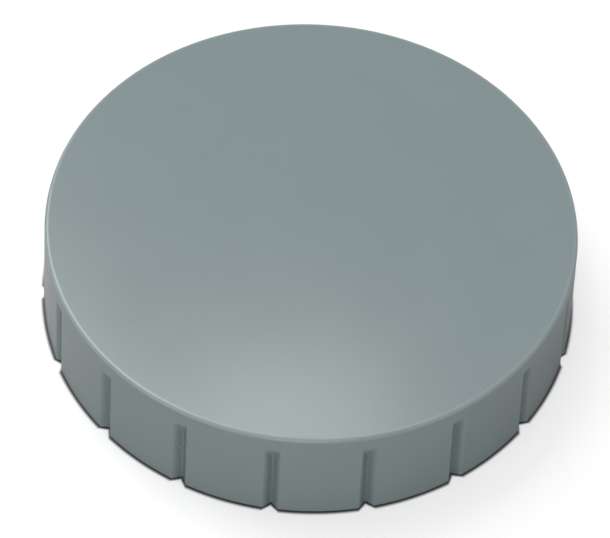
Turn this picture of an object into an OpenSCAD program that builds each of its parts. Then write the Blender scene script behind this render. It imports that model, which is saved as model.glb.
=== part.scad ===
// Round notice-board magnet: a moulded plastic cap with grip grooves round its
// wall, and a ferrite disc pressed into its open underside. The cap stands on
// its rim at z = 0, and z points up through the middle of the top face.

/* [Cap] */
// Height from the rim to the middle of the top face
cap_h = 7; // [6.5:0.1:9]
// Draft of the outer wall, in degrees: the cap is narrower at the top
wall_draft = 2.6; // [0.5:0.1:4]
// Height that the top face bows up in its middle
crown_h = 0.2; // [0.1:0.05:0.6]
// Radius of the edge between the top face and the wall
top_edge_r = 0.25; // [0.15:0.05:0.8]
// Chamfer of the rim's outer and inner edges
rim_chamfer = 0.15; // [0.05:0.05:0.3]
// Thickness of the outer wall, measured on the level
wall_t = 1.3; // [1:0.1:2]
// Thickness of the top over the hollow between wall and collar
top_t = 1.4; // [0.8:0.1:1.6]

/* [Grip grooves] */
// Number of grooves round the wall
groove_count = 18; // [6:1:30]
// Width of a groove at the wall's surface
groove_w = 0.9; // [0.6:0.05:1.6]
// Width of a groove's floor, between its sloping sides
groove_floor_w = 0.1; // [0.05:0.05:0.6]
// Depth of a groove below the wall's surface
groove_depth = 0.45; // [0.2:0.05:0.6]
// Radius of the run-out at a groove's upper end
groove_end_r = 2; // [0.6:0.1:3]
// Plain band of wall between the top face's edge and a groove
groove_gap = 0.95; // [0.5:0.05:2]

/* [Ferrite disc] */
// Diameter of the disc, which the cap is built round
disc_d = 25; // [12:0.5:40]
// Thickness of the disc
disc_t = 5; // [3:0.1:5.4]
// Chamfer of the disc's edges
disc_chamfer = 0.35; // [0.1:0.05:0.6]
// Distance from the rim up to the disc's free face
disc_setback = 0.15; // [0.1:0.05:0.4]

/* [Disc seat] */
// Thickness of the collar that holds the disc
collar_t = 0.9; // [0.6:0.1:1.2]
// Free gap between the disc and the collar's bore
disc_gap = 0.15; // [0.1:0.05:0.25]
// Lead-in chamfer at the mouth of the collar
mouth_chamfer = 0.3; // [0.1:0.05:0.5]
// Number of crush ribs down the collar's bore
crush_rib_count = 6; // [3:1:12]
// Radius of a crush rib
crush_rib_r = 0.3; // [0.25:0.05:0.5]
// Clearance left between the disc and the crest of a crush rib
crush_rib_gap = 0.02; // [0.01:0.01:0.05]
// Width of the hollow between the collar and the outer wall, at the rim
hollow_w = 1.15; // [0.8:0.05:4]
// Number of webs between the collar and the outer wall
web_count = 6; // [3:1:12]
// Thickness of a web
web_t = 0.8; // [0.5:0.1:1.2]

/* [Hidden] */
$fn = 96;

// Drawing allowances, so that no cut ends on a surface
over = 1;
root = 0.2;

// Radii from the disc outwards, to the open rim, where the cap is widest
disc_r = disc_d / 2;
bore_r = disc_r + disc_gap;
collar_r = bore_r + collar_t;
wall_r = collar_r + hollow_w;
rim_r = wall_r + wall_t;

// Heights from the rim: the disc's seat and hollow's ceiling, and the edge of
// the top face, where the draft has made the cap narrower
seat_z = disc_setback + disc_t;
ceiling_z = cap_h - top_t;
corner_z = cap_h - crown_h;
top_r = rim_r - corner_z * tan(wall_draft);

// The crown is part of a large sphere, drawn as narrow level bands. The round
// between its last band and the wall touches both.
crown_r = (pow(top_r, 2) + pow(crown_h, 2)) / (2 * crown_h);
crown_bands = 16;
crown_points = [for (i = [crown_bands : -1 : 0]) crown_point(top_r * i / crown_bands)];
last_band = crown_points[1] - crown_points[0];
wall_normal = along(wall_draft);
crown_normal = along(90 - atan2(last_band[1], -last_band[0]));
edge_inset = top_edge_r / (1 + wall_normal * crown_normal);
edge_centre = crown_points[0] - edge_inset * (wall_normal + crown_normal);

// Distance up the sloping wall to a groove's upper end
groove_len = (corner_z - groove_gap) / cos(wall_draft);
groove_end_len = sqrt(groove_depth * (2 * groove_end_r - groove_depth));

function along(angle) = [cos(angle), sin(angle)];
function crown_point(r) = [r, cap_h - crown_r + sqrt(pow(crown_r, 2) - pow(r, 2))];

// Places its children every 360 / count degrees about the axis
module around(count, start = 0) {
    for (i = [0 : count - 1])
        rotate(start + i * 360 / count)
            children();
}

// The cap's outer half section, with a sharp edge between its top and wall
module sharp_section() {
    polygon(concat(
        [
            [0, 0],
            [rim_r - rim_chamfer, 0],
            [rim_r - rim_chamfer * tan(wall_draft), rim_chamfer]
        ],
        crown_points
    ));
}

// What the round takes off that edge
module edge_corner() {
    on_wall = edge_centre + top_edge_r * wall_normal;
    on_crown = edge_centre + top_edge_r * crown_normal;
    difference() {
        polygon([
            edge_centre,
            on_wall,
            on_wall + over * (wall_normal + crown_normal),
            on_crown + over * (wall_normal + crown_normal),
            on_crown
        ]);
        translate(edge_centre)
            circle(r = top_edge_r);
    }
}

module outer_section() {
    difference() {
        sharp_section();
        edge_corner();
    }
}

// Side view of a groove's cutter, with X out of the wall and Y up along its
// slope: one depth all the way, and a floor that curves out to the surface
module groove_side_view() {
    full_len = groove_len - groove_end_len;
    translate([-groove_depth, -over])
        square([groove_depth + over, full_len + over]);
    translate([groove_end_r - groove_depth, full_len])
        circle(r = groove_end_r);
}

// Section of a groove's cutter across the wall: sloping sides and a flat floor
module groove_section() {
    side_lean = (groove_w - groove_floor_w) / (2 * groove_depth);
    outer_w = groove_w + 2 * over * side_lean;
    polygon([
        [-groove_depth, -groove_floor_w / 2],
        [over, -outer_w / 2],
        [over, outer_w / 2],
        [-groove_depth, groove_floor_w / 2]
    ]);
}

// One groove's cutter, against the sloping wall at angle 0. It is what the
// section, run up the wall, and the side view, drawn wide, have in common.
module groove_cutter() {
    translate([rim_r, 0, 0])
        rotate([0, -wall_draft, 0])
            intersection() {
                translate([0, 0, -over])
                    linear_extrude(groove_len + 2 * over)
                        groove_section();
                rotate([90, 0, 0])
                    linear_extrude(rim_r, center = true)
                        groove_side_view();
            }
}

// Half section of the ring-shaped hollow between the collar and the outer wall
module hollow_section() {
    polygon([
        [collar_r, -over],
        [wall_r + rim_chamfer + over, -over],
        [wall_r + rim_chamfer, 0],
        [wall_r - rim_chamfer * tan(wall_draft), rim_chamfer],
        [wall_r - ceiling_z * tan(wall_draft), ceiling_z],
        [collar_r, ceiling_z]
    ]);
}

module web() {
    translate([collar_r - root, -web_t / 2, disc_setback])
        cube([hollow_w + 2 * root, web_t, ceiling_z]);
}

// The hollow, less the webs that cross it
module hollow() {
    difference() {
        rotate_extrude()
            hollow_section();
        around(web_count)
            web();
    }
}

// The bore that takes the disc, with its lead-in, and the step that keeps the
// collar's end level with the disc's free face
module disc_pocket() {
    cylinder(r = bore_r, h = seat_z);
    translate([0, 0, disc_setback])
        cylinder(r1 = bore_r + mouth_chamfer, r2 = bore_r, h = mouth_chamfer);
    translate([0, 0, -over])
        cylinder(r = collar_r + root, h = disc_setback + over);
}

// A half-round rib down the bore, above the lead-in
module crush_rib() {
    rib_z = disc_setback + 2 * mouth_chamfer;
    translate([disc_r + crush_rib_gap + crush_rib_r, 0, rib_z])
        cylinder(r = crush_rib_r, h = seat_z - rib_z + root);
}

module cap() {
    color([0.54, 0.58, 0.59]) {
        difference() {
            rotate_extrude()
                outer_section();
            around(groove_count)
                groove_cutter();
            hollow();
            disc_pocket();
        }
        around(crush_rib_count, 180 / crush_rib_count)
            crush_rib();
    }
}

module ferrite_disc() {
    color([0.16, 0.16, 0.17])
        translate([0, 0, disc_setback])
            rotate_extrude()
                polygon([
                    [0, 0],
                    [disc_r - disc_chamfer, 0],
                    [disc_r, disc_chamfer],
                    [disc_r, disc_t - disc_chamfer],
                    [disc_r - disc_chamfer, disc_t],
                    [0, disc_t]
                ]);
}

cap();
ferrite_disc();
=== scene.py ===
# %% [markdown]
# # A round magnet for a notice board
#
# The real object has two pieces. A satin plastic cap, 32 mm across and 7 mm
# high, has grip grooves round its wall. A black ferrite disc sits in its open
# underside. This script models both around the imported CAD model, gives them
# their finishes, and sets up a small studio. The scene is in metres. Sizes are
# written in millimetres, and multiplied by MM where they go into the scene.

# %% Load the frame
from math import atan2, cos, degrees, hypot, pi, radians, sin, sqrt, tan

import bmesh
import bpy
from mathutils import Matrix, Vector


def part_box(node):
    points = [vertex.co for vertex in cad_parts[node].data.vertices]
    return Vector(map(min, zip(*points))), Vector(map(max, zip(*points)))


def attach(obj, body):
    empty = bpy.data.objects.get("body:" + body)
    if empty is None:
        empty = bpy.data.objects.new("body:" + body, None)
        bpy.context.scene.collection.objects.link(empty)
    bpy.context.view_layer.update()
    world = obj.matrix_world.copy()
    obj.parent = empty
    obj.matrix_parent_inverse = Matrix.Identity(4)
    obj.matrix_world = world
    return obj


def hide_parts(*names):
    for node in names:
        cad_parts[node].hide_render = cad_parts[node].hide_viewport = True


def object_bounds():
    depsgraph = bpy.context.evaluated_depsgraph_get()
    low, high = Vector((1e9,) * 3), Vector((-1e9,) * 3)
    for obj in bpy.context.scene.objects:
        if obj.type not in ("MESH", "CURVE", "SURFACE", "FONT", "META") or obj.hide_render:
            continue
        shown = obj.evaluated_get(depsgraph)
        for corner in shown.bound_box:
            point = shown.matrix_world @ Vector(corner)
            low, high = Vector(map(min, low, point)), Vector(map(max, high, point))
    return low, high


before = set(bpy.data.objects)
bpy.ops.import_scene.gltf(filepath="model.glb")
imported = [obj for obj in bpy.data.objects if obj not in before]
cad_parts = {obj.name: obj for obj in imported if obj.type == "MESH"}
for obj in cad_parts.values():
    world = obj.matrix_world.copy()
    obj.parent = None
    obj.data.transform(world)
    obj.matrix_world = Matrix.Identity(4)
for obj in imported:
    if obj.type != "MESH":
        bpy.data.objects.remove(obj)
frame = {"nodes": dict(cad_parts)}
cad_low, cad_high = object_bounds()
MM = 0.001
print("CAD pieces:", ", ".join(frame["nodes"]))
print("CAD box, mm:", [round(x / MM, 2) for x in (*cad_low, *cad_high)])

# %% [markdown]
# ## Working by place
#
# Edit-mode operators act on whatever is selected. So each step first picks
# vertices by where they are, as a person would with the mouse, and then calls
# one operator. Heights and radii are easier to read than X, Y and Z on a round
# part, so a test gets a vertex's radius, its height and its angle round the
# axis, in millimetres and degrees.


# %% Pick vertices by where they are
def pick(test):
    """Selects the vertices for which test(radius, height, angle) is true, and nothing else."""
    mesh = bpy.context.object.data
    shape = bmesh.from_edit_mesh(mesh)
    for element in (*shape.verts, *shape.edges, *shape.faces):
        element.select_set(False)
    for v in shape.verts:
        x, y, z = v.co / MM
        if test(hypot(x, y), z, degrees(atan2(y, x))):
            v.select_set(True)
    shape.select_flush(True)
    bmesh.update_edit_mesh(mesh)
    return sum(v.select for v in shape.verts)


def near(a, b, reach=0.01):
    return abs(a - b) < reach


def everything(r, z, angle):
    return True


# %% [markdown]
# ## The sizes of the cap
#
# The height comes from the frame, and the rim's radius is printed beside the
# frame's. The other values are the real sizes, as in the CAD model. Only the
# round of the top edge and the depth of the grooves are drawn a touch finer,
# which gives them the thin lines of light and shade that the real part has.

# %% Sizes in millimetres
CAP_H = cad_high.z / MM
RIM_R = 16
WALL_R = 14.7
COLLAR_R = 13.55
BORE_R = 12.65
CROWN_H = 0.2
TOP_T = 1.4
TOP_EDGE = 0.18
SMALL_EDGE = 0.08
MOUTH = 0.3
DRAFT = tan(radians(2.6))
DISC_LOW, DISC_HIGH = (corner.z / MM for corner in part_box("ferrite_disc"))
RIM_EDGE = DISC_LOW
CEILING_Z = CAP_H - TOP_T

corner_z = CAP_H - CROWN_H
top_r = RIM_R - corner_z * DRAFT
crown_r = (top_r**2 + CROWN_H**2) / (2 * CROWN_H)
print("rim radius, mm:", RIM_R, "in the frame:", round(cad_high.y / MM, 2))
print("top edge radius, mm:", round(top_r, 3), "crown radius, mm:", round(crown_r))

# %% [markdown]
# ## The cap's half section
#
# A moulding with a round plan is easiest to make as a half section that is
# spun about its axis. The outline is drawn as by hand, one extruded vertex
# after another: from the rim up the outer wall and over the crown to the axis,
# and then from the rim once more, up and across the narrow hollow, down the
# collar and round its end, up the bore, and along the disc's seat to the axis.
# The wall gets extra points where the grooves will run out, and the bore where
# its ribs start, because a spun surface can only bend where it has a ring. A
# point a little way off each side of the top edge keeps that edge's shading
# from spreading over the top and the wall.

# %% Extra points of the section
PLAIN_BAND = 0.9
GROOVE_TOP = corner_z - PLAIN_BAND
RUN_OUT = 1.5
LOW_RING = 2.5
MARGIN = 0.06
RIB_FOOT = 0.7
RIB_LEAD = 0.08

run_out = [GROOVE_TOP - RUN_OUT * part for part in (1, 0.86, 0.72, 0.6, 0.5, 0.4, 0.3, 0.2, 0.1, 0)]
crown_rings = (top_r - TOP_EDGE - MARGIN, 15, 13, 10, 7, 4, 2, 0.8, 0)
print("points where a groove runs out:", len(run_out), "and on the crown:", len(crown_rings))


# %% Ways to draw a section
def start_piece(name):
    """Adds a single loose vertex at the origin, in edit mode, and returns its object."""
    bpy.ops.object.select_all(action="DESELECT")
    bpy.ops.mesh.primitive_plane_add(size=MM)
    piece = bpy.context.object
    piece.name = piece.data.name = name
    bpy.ops.object.mode_set(mode="EDIT")
    bpy.ops.mesh.merge(type="CENTER")
    return piece


def at(radius, height):
    """Returns a test for the vertices at one place of the section."""
    return lambda r, z, angle: near(r, radius) and near(z, height)


def draw_to(radius, height):
    """Extrudes the selected vertex of the section to a new place."""
    shape = bmesh.from_edit_mesh(bpy.context.object.data)
    here = next(v.co for v in shape.verts if v.select)
    step = Vector((radius * MM, 0, height * MM)) - here
    bpy.ops.mesh.extrude_vertices_move(TRANSFORM_OT_translate={"value": step})


def wall_radius(z, at_rim=RIM_R):
    return at_rim - z * DRAFT


def crown_height(r):
    return CAP_H - crown_r + sqrt(crown_r**2 - r**2)


# %% Draw the section
cap = start_piece("magnet_cap")
bpy.ops.transform.translate(value=(WALL_R * MM, 0, 0))
draw_to(RIM_R, 0)
for z in (LOW_RING, *run_out, corner_z - TOP_EDGE - MARGIN, corner_z):
    draw_to(wall_radius(z), z)
for r in crown_rings:
    draw_to(r, crown_height(r))
pick(at(WALL_R, 0))
draw_to(wall_radius(CEILING_Z, WALL_R), CEILING_Z)
draw_to(COLLAR_R, CEILING_Z)
draw_to(COLLAR_R, DISC_LOW)
draw_to(BORE_R + MOUTH, DISC_LOW)
draw_to(BORE_R, DISC_LOW + MOUTH)
for z in (RIB_FOOT, RIB_FOOT + RIB_LEAD, DISC_HIGH):
    draw_to(BORE_R, z)
draw_to(0, DISC_HIGH)
print("points in the sharp section:", pick(everything))

# %% [markdown]
# ## Rounded corners
#
# A moulding has no sharp corners: its mould is rounded a little everywhere, and
# most at the top edge, which fingers feel. The corners are rounded here, while
# each is still a single point, because a vertex bevel on a section is exact and
# never has to find its way along a ring of edges.


# %% Round the section's corners
def round_off(test, reach, segments):
    """Rounds corners of a section, from a point that far along each edge."""
    pick(test)
    bpy.ops.mesh.bevel(
        affect="VERTICES", offset_type="ABSOLUTE", offset=reach * MM, segments=segments, profile=0.5
    )


round_off(at(top_r, corner_z), TOP_EDGE, 5)
round_off(at(RIM_R, 0), RIM_EDGE, 3)
round_off(at(WALL_R, 0), RIM_EDGE, 3)
round_off(at(COLLAR_R, DISC_LOW), SMALL_EDGE, 2)
round_off(at(BORE_R + MOUTH, DISC_LOW), SMALL_EDGE, 2)
print("points in the section:", pick(everything))

# %% [markdown]
# ## One sixth of the cap
#
# The cap has a groove every 20 degrees, and a web and a crush rib every 60. So
# everything on it repeats six times round, and one sixth is modelled and then
# copied. The sixth starts between two grooves, where a seam is easy to close.
#
# Spinning in equal steps would leave no fine columns at a groove's edges. The
# columns are therefore moved after the spin, in pairs, outwards from each
# groove's middle: narrow ones to where the corners are, wide ones on the plain
# wall. Their widths change little by little, because a narrow face beside a
# very wide one bends the shading. COLUMNS holds each column's angle from the
# middle of its groove, and how much of the groove's depth it takes. So it also
# draws the groove's section: a V with a narrow floor, and softened corners
# where its sides leave the wall.

# %% Spin a sixth, with grooves at 0, 20 and 40 degrees
SIXTH = 60
PITCH = 20
GROOVE_DEPTH = 0.4
GROOVE_HALF = 1.77
COLUMNS = [
    (0, 1),
    (0.16, 0.98),
    (0.29, 0.925),
    (0.6, 0.71),
    (0.9, 0.5),
    (1.25, 0.25),
    (1.5, 0.078),
    (1.63, 0.02),
    (GROOVE_HALF, 0),
    (4.4, 0),
    (6.6, 0),
    (8, 0),
    (8.85, 0),
    (9.4, 0),
    (10, 0),
]
LAST = len(COLUMNS) - 1
STEP = PITCH / (2 * LAST)
# The sixth starts this many steps past the groove at -20 degrees
FIRST_COLUMN = 9


def turn(angle):
    """Turns what is selected about the magnet's axis, anticlockwise from above."""
    bpy.ops.transform.rotate(value=-radians(angle), orient_axis="Z", center_override=(0, 0, 0))


turn(FIRST_COLUMN * STEP - PITCH)
bpy.ops.mesh.spin(steps=round(SIXTH / STEP), angle=radians(SIXTH), center=(0, 0, 0), axis=(0, 0, -1))
print("points in a sixth:", pick(everything))

# %% [markdown]
# ## Grooves
#
# Fingers grip the wall by eighteen V-shaped grooves. Each is open at the rim
# and fades out below the top edge, where its floor curves up to the wall. A
# boolean with eighteen wedges would cut them too, but it leaves long thin faces
# that shade badly. Here parts of the wall are scaled towards the axis instead,
# ring by ring and column by column, by the smaller of two depths: that of the
# V at this column, and that of the curved floor at this height.


# %% Find columns, and the depth of a groove
def from_groove(angle):
    """The angle from the middle of the nearest groove."""
    return angle - PITCH * round(angle / PITCH)


def in_column(angle, column):
    """Is this angle at a column's place straight after the spin?"""
    return abs(from_groove(angle) - column * STEP) < STEP / 8


def groove_depth(z):
    """Depth of a groove's floor at a height: full, then on a curve up to nothing."""
    below_top = min(max(GROOVE_TOP - z, 0), RUN_OUT)
    return GROOVE_DEPTH * (1 - cos(pi * below_top / RUN_OUT)) / 2


def squeeze(factor):
    """Scales what is selected towards the magnet's axis, and leaves its height."""
    bpy.ops.transform.resize(value=(factor, factor, 1), center_override=(0, 0, 0))


# %% Press the grooves into the wall
RING_REACH = 0.004

mid_wall = (WALL_R + RIM_R) / 2
shape = bmesh.from_edit_mesh(cap.data)
rings = {(round(hypot(v.co.x, v.co.y) / MM, 3), round(v.co.z / MM, 3)) for v in shape.verts}
outer_rings = sorted((r, z) for r, z in rings if r > mid_wall and z < GROOVE_TOP + MARGIN)
for ring_r, ring_z in outer_rings:
    for column, (_, share) in enumerate(COLUMNS):
        depth = min(share * GROOVE_DEPTH, groove_depth(ring_z))
        if depth > 0:
            pick(
                lambda r, z, angle: near(r, ring_r, RING_REACH)
                and near(z, ring_z, RING_REACH)
                and (in_column(angle, column) or in_column(angle, -column))
            )
            squeeze(1 - depth / ring_r)
print("rings that the grooves cross:", len(outer_rings))

# %% [markdown]
# ## Webs
#
# A web is a thin wall that crosses the hollow. It needs no new faces: the
# hollow's ceiling comes down between two columns to the level of the collar's
# end, and what it touches there is merged with it.

# %% Bring the ceiling down to make a web
# The web reaches from its middle to this column on both sides
WEB_COLUMNS = 7

wall_low = wall_radius(DISC_LOW, WALL_R)
wall_high = wall_radius(CEILING_Z, WALL_R)


def on_web(angle):
    return abs(angle) < (WEB_COLUMNS + 0.5) * STEP


pick(lambda r, z, angle: near(z, CEILING_Z) and near(r, wall_high) and on_web(angle))
squeeze(wall_low / wall_high)
pick(lambda r, z, angle: near(z, CEILING_Z) and BORE_R < r < WALL_R and on_web(angle))
bpy.ops.transform.translate(value=(0, 0, (DISC_LOW - CEILING_Z) * MM))

# The collar's rounded edge is flattened where the web joins it
flattened = pick(
    lambda r, z, angle: near(r, COLLAR_R, 2 * SMALL_EDGE) and z < 2 * DISC_LOW and on_web(angle)
)
bpy.ops.transform.resize(value=(1, 1, 0), center_override=(0, 0, DISC_LOW * MM))
print("collar points levelled for the web:", flattened)

# %% [markdown]
# ## Columns to their places
#
# So far all columns are one step apart, which made them easy to find. Now each
# one turns to the angle that COLUMNS gives it, all the way from the rim to the
# crown. The grooves, and the web between its two columns, get their real width.

# %% Move the columns
for column, (angle_there, _) in enumerate(COLUMNS[:LAST]):
    for side in (1, -1):
        pick(lambda r, z, angle: r > 0.01 and in_column(angle, side * column))
        turn(side * (angle_there - column * STEP))
print("columns moved on each side of a groove:", LAST)

# %% [markdown]
# ## Crush ribs
#
# Six slim ribs run down the collar's bore. The disc is pressed in past them,
# and their crests hold it, so neither part has to be made to a close size. Each
# lies half way between two webs, at 30 degrees, where two pitches meet.

# %% Raise the crush ribs in the bore
RIB_ANGLE = 30
# Degrees from the rib's middle, and how far it stands out there
RIB_SECTION = ((0, 0.13), (0.6, 0.1))


def on_rib(angle, offset):
    return near(abs(angle - RIB_ANGLE), offset, 0.05)


for offset, rise in RIB_SECTION:
    found = pick(lambda r, z, angle: near(r, BORE_R) and z > RIB_FOOT + MARGIN and on_rib(angle, offset))
    squeeze(1 - rise / BORE_R)
    print("rib points:", found)

# %% [markdown]
# ## The whole cap
#
# Five turned copies of the sixth complete the ring. Merging by distance closes
# the seams and the pole, and removes the edges that the webs made too short.
# Spinning and turning can leave faces that point inwards, so the normals are
# worked out again once the mesh is closed.

# %% Copy the sixth round, and merge the seams
pick(everything)
for copy in range(1, round(360 / SIXTH)):
    bpy.ops.mesh.duplicate()
    turn(SIXTH)
pick(everything)
bpy.ops.mesh.remove_doubles(threshold=0.000001)
bpy.ops.mesh.normals_make_consistent(inside=False)
print("points in the whole cap:", pick(everything))

# %% [markdown]
# ## Smooth shading
#
# Large flat faces and small rounds meet in one mesh, and plain smoothing would
# bend the light on the large ones. A Weighted Normal modifier lets the large
# faces decide the shading. It passes over faces whose area in square metres is
# tiny, as most are on a part this small, so for that one step the piece is a
# thousand times larger.


# %% Smooth a finished piece
def enlarge(factor):
    """Scales the active piece about the origin, in its mesh."""
    bpy.ops.transform.resize(value=(factor, factor, factor), center_override=(0, 0, 0))
    bpy.ops.object.transform_apply(location=True, scale=True)


def finish_mesh(piece, crease):
    """Leaves edit mode and smooths every edge that is flatter than the crease."""
    bpy.ops.object.mode_set(mode="OBJECT")
    bpy.ops.object.shade_smooth_by_angle(angle=radians(crease))
    modifier = piece.modifiers.new("Weighted normals", "WEIGHTED_NORMAL")
    modifier.keep_sharp = True
    enlarge(1 / MM)
    bpy.ops.object.modifier_apply(modifier=modifier.name)
    enlarge(MM)
    triangles = sum(len(face.vertices) - 2 for face in piece.data.polygons)
    print(piece.name, "triangles:", triangles)


finish_mesh(cap, crease=50)
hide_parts("cap")
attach(cap, "root")

# %% [markdown]
# ## The ferrite disc
#
# The disc is pressed and fired ceramic, ground flat on both faces. It starts
# as a cylinder. Its two faces are the only ones with more than four sides, so
# they are easy to select, and a bevel breaks both edges as tumbling does.

# %% Model the disc
DISC_CHAMFER = 0.35
disc_low, disc_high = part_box("ferrite_disc")
bpy.ops.object.select_all(action="DESELECT")
bpy.ops.mesh.primitive_cylinder_add(
    vertices=180,
    radius=disc_high.y,
    depth=disc_high.z - disc_low.z,
    location=(0, 0, (disc_high.z + disc_low.z) / 2),
)
disc = bpy.context.object
disc.name = disc.data.name = "magnet_disc"
bpy.ops.object.transform_apply(location=True)
bpy.ops.object.mode_set(mode="EDIT")
bpy.ops.mesh.select_all(action="DESELECT")
bpy.ops.mesh.select_mode(type="FACE")
bpy.ops.mesh.select_face_by_sides(number=4, type="GREATER")
bpy.ops.mesh.bevel(affect="EDGES", offset=DISC_CHAMFER * MM, segments=3, profile=0.6)
bpy.ops.mesh.select_mode(type="VERT")
finish_mesh(disc, crease=50)
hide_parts("ferrite_disc")
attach(disc, "root")

# %% [markdown]
# ## Maths in materials
#
# A material is a small network of nodes. Written node by node it is hard to
# read, so this class wraps a node's output: plus, minus, times and divide on
# it add the Math nodes, and node() adds any other kind.


# %% A readable way to join nodes
class Signal:
    """A value or colour on its way through a material."""

    def __init__(self, socket):
        self.socket = socket

    def node(self, kind, output=0, inputs=(), **settings):
        """Adds a node to the same material and returns one of its outputs."""
        return add_node(self.socket.id_data, kind, output, inputs, **settings)

    def maths(self, operation, *values):
        return self.node("ShaderNodeMath", 0, dict(enumerate(values)), operation=operation)

    def __add__(self, other):
        return self.maths("ADD", self, other)

    def __sub__(self, other):
        return self.maths("SUBTRACT", self, other)

    def __rsub__(self, other):
        return self.maths("SUBTRACT", other, self)

    def __mul__(self, other):
        return self.maths("MULTIPLY", self, other)

    def __truediv__(self, other):
        return self.maths("DIVIDE", self, other)

    __radd__ = __add__
    __rmul__ = __mul__

    def between(self, low, high):
        """Rises from 0 to 1 as the value goes from low to high."""
        limits = {"Value": self, "From Min": low, "From Max": high}
        return self.node("ShaderNodeMapRange", "Result", limits, interpolation_type="SMOOTHSTEP")

    def mix(self, low, high):
        """Blends two colours by this value."""
        colours = {"Factor": self, "A": (*low, 1), "B": (*high, 1)}
        return self.node("ShaderNodeMix", "Result", colours, data_type="RGBA")


def add_node(tree, kind, output=0, inputs=(), **settings):
    """Adds a node, sets or links its inputs, and returns one of its outputs."""
    node = tree.nodes.new(kind)
    for name, value in settings.items():
        setattr(node, name, value)
    for name, value in dict(inputs).items():
        socket = find_socket(node.inputs, name)
        if isinstance(value, Signal):
            tree.links.new(value.socket, socket)
        else:
            socket.default_value = value
    return Signal(find_socket(node.outputs, output))


def find_socket(sockets, name):
    """Finds a socket by number or name, and passes over those a node has switched off."""
    if isinstance(name, int):
        return sockets[name]
    return next(s for s in sockets if s.name == name and s.enabled)


# %% A material and its common parts
def new_material(name, piece, **constants):
    """Gives a piece a new material, and returns its Object coordinates in millimetres and its shader."""
    material = bpy.data.materials.new(name)
    material.use_nodes = True
    piece.data.materials.clear()
    piece.data.materials.append(material)
    tree = material.node_tree
    shader = tree.nodes["Principled BSDF"]
    for socket, value in constants.items():
        shader.inputs[socket.replace("_", " ")].default_value = value
    place = add_node(tree, "ShaderNodeTexCoord", "Object")
    scale = {"Vector": place, "Scale": 1 / MM}
    return place.node("ShaderNodeVectorMath", 0, scale, operation="SCALE"), shader


def noise(place, size, detail=2, roughness=0.5):
    """Noise with blotches of about this size in millimetres, with values near 0.5."""
    settings = {"Vector": place, "Scale": 1 / size, "Detail": detail, "Roughness": roughness}
    return place.node("ShaderNodeTexNoise", 0, settings)


def bump(height, distance):
    """Turns a height from 0 to 1 into a bump of that many millimetres."""
    inputs = {"Height": height, "Distance": distance * MM, "Strength": 1.0}
    return height.node("ShaderNodeBump", "Normal", inputs)


def feed(shader, socket, signal):
    shader.id_data.links.new(signal.socket, shader.inputs[socket])


# %% [markdown]
# ## Satin plastic
#
# The cap is injection moulded in a blue-grey plastic, with a satin skin taken
# from a finely etched mould. Very fine grain in the bump, a slow change of
# gloss across the part and faint clouds in the colour keep it from looking like
# flat paint. The top edge is a little glossier, as fingers polish it, and its
# colour is painted lighter there, a painted highlight. The grooves are a little
# duller and have no grain, and their colour is painted darker, painted shade.
# Where that is follows from a point's radius and height, because the part is
# round.

# %% The cap's plastic
CAP_ROUGHNESS = 0.14
CAP_DARK = (0.192, 0.235, 0.238)
CAP_LIGHT = (0.302, 0.369, 0.374)

place, shader = new_material("satin plastic", cap, IOR=1.49)
across = place.node("ShaderNodeVectorMath", 0, {0: place, 1: (1, 1, 0)}, operation="MULTIPLY")
radius = across.node("ShaderNodeVectorMath", "Value", {0: across}, operation="LENGTH")
height = place.node("ShaderNodeSeparateXYZ", "Z", {0: place})

# How far a point lies behind the plain wall decides what is a groove
sunk = RIM_R - DRAFT * height - radius
below_top = 1 - height.between(GROOVE_TOP - 0.2, GROOVE_TOP + 0.1)
# The grooves: painted shade in the colour, and a little dullness in the roughness
painted_shade_and_dullness = sunk.between(0.03, 0.27) * radius.between(15, 15.2) * below_top
# The top edge: a painted highlight in the colour, and a little polish in the roughness
painted_highlight_and_polish = radius.between(15.4, 15.52) * height.between(6.5, 6.6)

clouds = noise(place, 4, detail=3)
grain = noise(place, 0.12, detail=1)
skin = (grain + 0.4 * noise(place, 0.5)) * (1 - sunk.between(0, 0.08))
# The tone holds random clouds, a painted highlight on the top edge and painted shade in the grooves
tone = 0.5 + 0.13 * (clouds - 0.5) + 0.33 * painted_highlight_and_polish - 0.5 * painted_shade_and_dullness
feed(shader, "Base Color", tone.mix(CAP_DARK, CAP_LIGHT))
feed(shader, "Roughness", CAP_ROUGHNESS + 0.03 * clouds + 0.03 * grain + 0.1 * painted_shade_and_dullness - 0.03 * painted_highlight_and_polish)
feed(shader, "Normal", bump(skin, 0.0025))
print("material:", cap.data.materials[0].name)

# %% [markdown]
# ## Ferrite
#
# Sintered ferrite is a dark grey ceramic with fine pores. Its two faces are
# ground flat, which leaves straight parallel scratches with a faint sheen, and
# its side is left as it was fired, a little duller. Noise that is stretched
# far along one axis looks like such scratches, so a Mapping node squeezes the
# coordinates along that axis.

# %% The disc's ceramic
FERRITE_DARK = (0.017, 0.017, 0.019)
FERRITE_LIGHT = (0.068, 0.068, 0.072)

place, shader = new_material("ferrite ceramic", disc, IOR=1.9)
stretch = {"Vector": place, "Scale": (0.05, 7, 1)}
scratches = noise(place.node("ShaderNodeMapping", 0, stretch), 1, detail=3, roughness=0.7)
from_middle = place.node("ShaderNodeSeparateXYZ", "Z", {0: place}) - (DISC_LOW + DISC_HIGH) / 2
half_thick = (DISC_HIGH - DISC_LOW) / 2
ground = from_middle.maths("ABSOLUTE", from_middle).between(half_thick - 0.06, half_thick - 0.01)
streaks = scratches.between(0.4, 0.62)
pores = noise(place, 0.22, detail=2).between(0.6, 0.7)
mottle = noise(place, 1.6, detail=4, roughness=0.6).between(0.35, 0.65)

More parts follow.
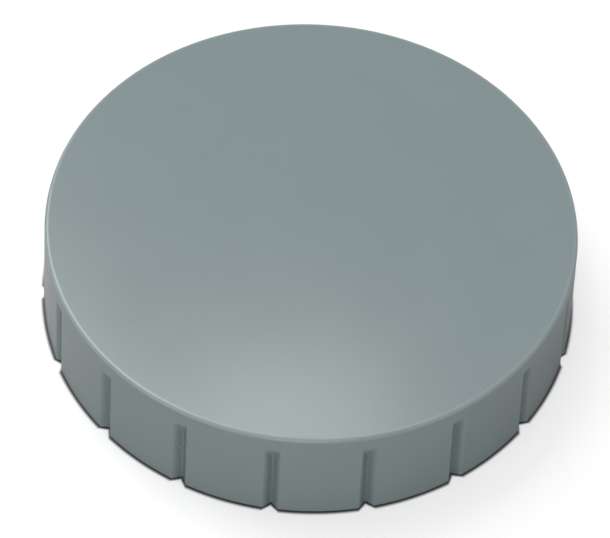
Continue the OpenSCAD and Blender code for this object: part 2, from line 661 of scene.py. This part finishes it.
tone = 0.35 + 0.3 * mottle + ground * (0.35 * streaks - 0.1) - 0.4 * pores
feed(shader, "Base Color", tone.mix(FERRITE_DARK, FERRITE_LIGHT))
feed(shader, "Roughness", 0.58 + 0.08 * mottle - ground * (0.14 + 0.12 * streaks) + 0.1 * pores)
feed(shader, "Normal", bump(ground * streaks * 0.35 - pores, 0.012))
print("material:", disc.data.materials[0].name)

# %% [markdown]
# ## The floor
#
# The magnet stands on white paper. The floor has to look white although it lies
# partly in shadow, and more lamps would wash out the magnet. So the paper sends
# out a little light of its own, which only the camera and reflections see, and
# more of it far out, where the lamps don't reach. A thin line round the rim,
# with the notches of its grooves, has none, and its colour is painted dark, a
# painted contact shadow that makes the object stand on its floor. In reflections
# that light fades in further out, or the wall would look lit from below.

# %% The floor
FLOOR_LIFT = 0.6
CONTACT_W = 0.25
LAMPS_END = (150, 450)
PAPER = (0.5, 0.5, 0.5)
# The colour of the painted contact shadow round the rim
PAINTED_CONTACT_SHADOW = (0.1, 0.1, 0.1)


def who_looks(place):
    """Returns three switches: each is 1 for camera rays, for glossy rays or for rays through glass."""
    rays = ("Is Camera Ray", "Is Glossy Ray", "Is Transmission Ray")
    return [place.node("ShaderNodeLightPath", ray) for ray in rays]


bpy.ops.mesh.primitive_plane_add(size=3)
floor = bpy.context.object
floor.name = "studio_floor"
place, shader = new_material("white sweep", floor, Roughness=0.9, Emission_Strength=1)
shader.inputs["Specular IOR Level"].default_value = 0
distance = place.node("ShaderNodeVectorMath", "Value", {0: place}, operation="LENGTH")
east = place.node("ShaderNodeSeparateXYZ", "X", {0: place})
north = place.node("ShaderNodeSeparateXYZ", "Y", {0: place})
angle = north.maths("ARCTAN2", north, east) * (180 / pi)
off_groove = angle.maths("PINGPONG", angle, PITCH / 2)
notch = GROOVE_DEPTH * (1 - off_groove / GROOVE_HALF)
# 0 on a thin line round the rim, notches included, where the floor's colour is painted dark as a contact
# shadow
outside_painted_shadow = (distance + notch.maths("MAXIMUM", notch, 0)).between(RIM_R, RIM_R + CONTACT_W)
around = distance.between(RIM_R, 3 * RIM_R)
lift = FLOOR_LIFT + (1 - FLOOR_LIFT) * distance.between(*LAMPS_END)
camera_sees, gloss_shows, glass_shows = who_looks(place)
# The thin line round the rim is painted dark: a painted contact shadow
feed(shader, "Base Color", outside_painted_shadow.mix(PAINTED_CONTACT_SHADOW, PAPER))
feed(shader, "Emission Color", lift * (camera_sees * outside_painted_shadow + (gloss_shows + glass_shows) * around))
print("floor:", floor.name)

# %% [markdown]
# ## The world
#
# The world works the same way. It lights the magnet only weakly, which lifts
# the shadows, and the camera sees it as white paper behind. Reflections see
# that paper up to a fair height, and above it the dim ceiling of the studio.

# %% The world
WORLD_LIGHT = 0.2
# In reflections the paper gives way to the ceiling between these Z values of a direction
PAPER_ENDS = (0.1, 0.4)

world = bpy.data.worlds.new("studio")
bpy.context.scene.world = world
world.use_nodes = True
background = world.node_tree.nodes["Background"]
background.inputs["Color"].default_value = (1, 1, 1, 1)
way = add_node(world.node_tree, "ShaderNodeTexCoord", "Generated")
ceiling = way.node("ShaderNodeSeparateXYZ", "Z", {0: way}).between(*PAPER_ENDS)
camera_sees, gloss_shows, glass_shows = who_looks(way)
paper = camera_sees + (gloss_shows + glass_shows) * (1 - ceiling)
feed(background, "Strength", WORLD_LIGHT + (1 - WORLD_LIGHT) * paper)
print("world light:", WORLD_LIGHT)

# %% [markdown]
# ## The lamps
#
# The light is that of a small studio with soft boxes. The key light is a large
# box behind the magnet to the left, which makes the top brighter than the wall
# and the left brighter than the right. Three low boxes in front fill the wall,
# more from the left than from the right, one overhead evens out the top, and a
# weak one behind on the right reaches the far side. A small lamp behind is there
# for its reflection alone: the glow near the front of the top. Each lamp is
# given by where it is seen from the magnet and by its level, which is how bright
# a white card that faces it would be. With the world's light they come to about
# 1 on the top, so a colour renders about as it is written.

# %% The lamps
CAMERA_AZIMUTH = -4.54


def soft_box(name, azimuth, elevation, width, height, level, distance=0.5):
    """Adds a lamp that faces the magnet. Azimuth 0 is on the camera's side, and 90 to its right."""
    side = radians(azimuth + CAMERA_AZIMUTH)
    rise = radians(elevation)
    way = Vector((sin(side) * cos(rise), -cos(side) * cos(rise), sin(rise)))
    power = level * pi**2 * distance**2
    bpy.ops.object.light_add(type="AREA", location=way * distance)
    lamp = bpy.context.object
    lamp.name = name
    lamp.rotation_euler = way.to_track_quat("Z", "Y").to_euler()
    lamp.data.shape = "RECTANGLE"
    lamp.data.size = width
    lamp.data.size_y = height
    lamp.data.energy = power
    print(name, "power, W:", round(power, 3))


soft_box("key", azimuth=-135, elevation=55, width=0.3, height=0.3, level=0.555)
soft_box("front", azimuth=0, elevation=20, width=0.25, height=0.25, level=0.215)
soft_box("front left", azimuth=-38, elevation=20, width=0.35, height=0.25, level=0.17)
soft_box("front right", azimuth=55, elevation=20, width=0.25, height=0.25, level=0.08)
soft_box("top", azimuth=180, elevation=82, width=0.3, height=0.3, level=0.19)
soft_box("back right", azimuth=135, elevation=55, width=0.3, height=0.3, level=0.043)
soft_box("glow", azimuth=-179.4, elevation=60.2, width=0.06, height=0.04, level=0.02)

# %% [markdown]
# ## Camera
#
# The view is from above at 52 degrees, with a long lens about 17 cm away, and
# the camera is tipped a little, as in a hand-held picture. The three axes of
# the camera are built from those angles, and then tipped by the roll.

# %% The camera
ELEVATION = radians(52.42)
AZIMUTH = radians(CAMERA_AZIMUTH)
ROLL = radians(3.07)
DISTANCE = 171.2 * MM
ASIDE = -0.25 * MM
AHEAD = 1.58 * MM

right = Vector((cos(AZIMUTH), sin(AZIMUTH), 0))
ahead = Vector((-sin(AZIMUTH), cos(AZIMUTH), 0))
back = Vector((0, 0, sin(ELEVATION))) - ahead * cos(ELEVATION)
up = back.cross(right)
x_axis = right * cos(ROLL) + up * sin(ROLL)
y_axis = up * cos(ROLL) - right * sin(ROLL)
viewpoint = right * ASIDE + ahead * AHEAD + back * DISTANCE

bpy.ops.object.camera_add()
camera = bpy.context.object
camera.data.lens = 165.25
camera.data.sensor_width = 36
camera.matrix_world = Matrix((x_axis, y_axis, back)).transposed().to_4x4()
camera.location = viewpoint
bpy.context.scene.camera = camera
bpy.context.scene.view_settings.view_transform = "Standard"
print("camera at, mm:", [round(x / MM, 1) for x in viewpoint])
